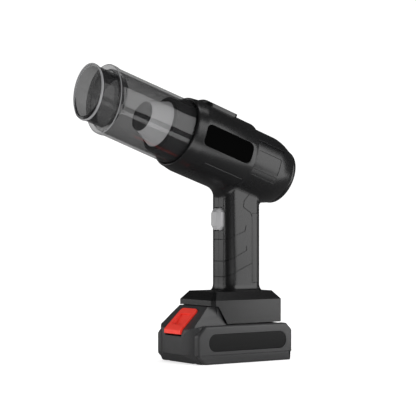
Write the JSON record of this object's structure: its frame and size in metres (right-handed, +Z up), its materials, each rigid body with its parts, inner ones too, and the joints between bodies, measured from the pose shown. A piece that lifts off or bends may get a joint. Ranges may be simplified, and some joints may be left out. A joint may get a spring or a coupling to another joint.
{
  "type": "car dryer blower",
  "caption": "Cordless pistol-grip air blower with a clear nozzle tube, ducted fan barrel, trigger and slide-on battery pack.",
  "frame": {"origin": "on the battery's resting face, straight below the middle of the foot", "axes": "+X the way the air leaves, +Y the tool's left, +Z up"},
  "size_m": [0.2437, 0.077, 0.2943],
  "materials": {
    "satin_black": "satin moulded ABS",
    "gloss_black": "semi-gloss moulded ABS",
    "inlay_black": "high gloss inlay",
    "rubber_black": "soft-touch overmould",
    "duct_black": "glass-filled nylon",
    "dome_grey": "bluish grey satin",
    "screw_steel": "blackened steel",
    "core_steel": "laminated steel",
    "copper": "enamelled copper",
    "bearing_steel": "ground steel",
    "spring_steel": "spring wire",
    "cone_silver": "silver-grey paint",
    "red_wire": "silicone insulation",
    "black_wire": "silicone insulation",
    "impeller_alu": "machined",
    "clear_smoke": "clear smoky polycarbonate",
    "button_grey": "satin light grey",
    "button_dark": "satin dark grey",
    "board_green": "solder mask",
    "brass_contact": "tinned brass",
    "battery_black": "fine textured plastic",
    "inlay_dark": "smooth matt inlay",
    "cell_wrap": "shrink wrap",
    "nickel": "nickel strip",
    "latch_red": "satin bright red"
  },
  "bodies": {
    "housing": {"left_housing": "satin_black", "right_housing": "satin_black", "rear_grip": "rubber_black", "housing_screws": "screw_steel", "front_sleeve": "gloss_black", "left_side_panel": "inlay_black", "right_side_panel": "inlay_black", "top_panel": "gloss_black", "nozzle_seal": "rubber_black", "rear_bezel": "satin_black", "intake_dome": "dome_grey", "fan_duct": "duct_black", "stator_vanes": "duct_black", "stator_core": "core_steel", "motor_coils": "copper", "rear_bearing": "bearing_steel", "front_bearing": "bearing_steel", "tail_cone": "cone_silver", "nose_cap": "duct_black", "red_lead": "red_wire", "dark_leads": "black_wire", "trigger_switch": "duct_black", "trigger_spring": "spring_steel", "rear_switch": "duct_black", "speed_board": "board_green", "foot_housing": "satin_black", "foot_screws": "screw_steel", "terminal_block": "duct_black", "terminal_blades": "brass_contact"},
    "nozzle": {"nozzle_tube": "clear_smoke", "outlet_collar": "clear_smoke"},
    "rotor": {"impeller": "impeller_alu", "motor_shaft": "bearing_steel", "rotor_magnet": "core_steel", "impeller_nut": "bearing_steel"},
    "trigger": {"trigger_button": "button_grey"},
    "rear_control": {"rear_button": "button_dark"},
    "battery": {"battery_lower_case": "battery_black", "battery_upper_case": "battery_black", "battery_screws": "screw_steel", "left_inlay": "inlay_dark", "right_inlay": "inlay_dark", "battery_cells": "cell_wrap", "cell_strips": "nickel", "battery_board": "board_green", "battery_terminals": "brass_contact", "latch_spring": "spring_steel"},
    "latch": {"release_latch": "latch_red"}
  },
  "joints": [
    {"name": "rotor_spin", "type": "hinge", "parent": "housing", "child": "rotor", "pos_m": [0.03411, 0, 0.22056], "axis": [0.9474, 0, 0.3201], "continuous": true},
    {"name": "trigger_pull", "type": "slide", "parent": "housing", "child": "trigger", "axis": [-1, 0, 0], "range_m": [0, 0.0036], "stiffness_N_per_m": 900, "springref_m": -0.0015, "deforming": ["trigger_spring"]},
    {"name": "rear_button_press", "type": "slide", "parent": "housing", "child": "rear_control", "axis": [1, 0, 0], "range_m": [0, 0.0015], "stiffness_N_per_m": 1500, "springref_m": -0.0006},
    {"name": "nozzle_pull", "type": "slide", "parent": "housing", "child": "nozzle", "axis": [0.9474, 0, 0.3201], "range_m": [0, 0.045]},
    {"name": "battery_slide", "type": "slide", "parent": "housing", "child": "battery", "axis": [1, 0, 0], "range_m": [0, 0.065]},
    {"name": "latch_press", "type": "slide", "parent": "battery", "child": "latch", "axis": [0, 0, -1], "range_m": [0, 0.0032], "stiffness_N_per_m": 1200, "springref_m": -0.001, "deforming": ["latch_spring"]}
  ]
}
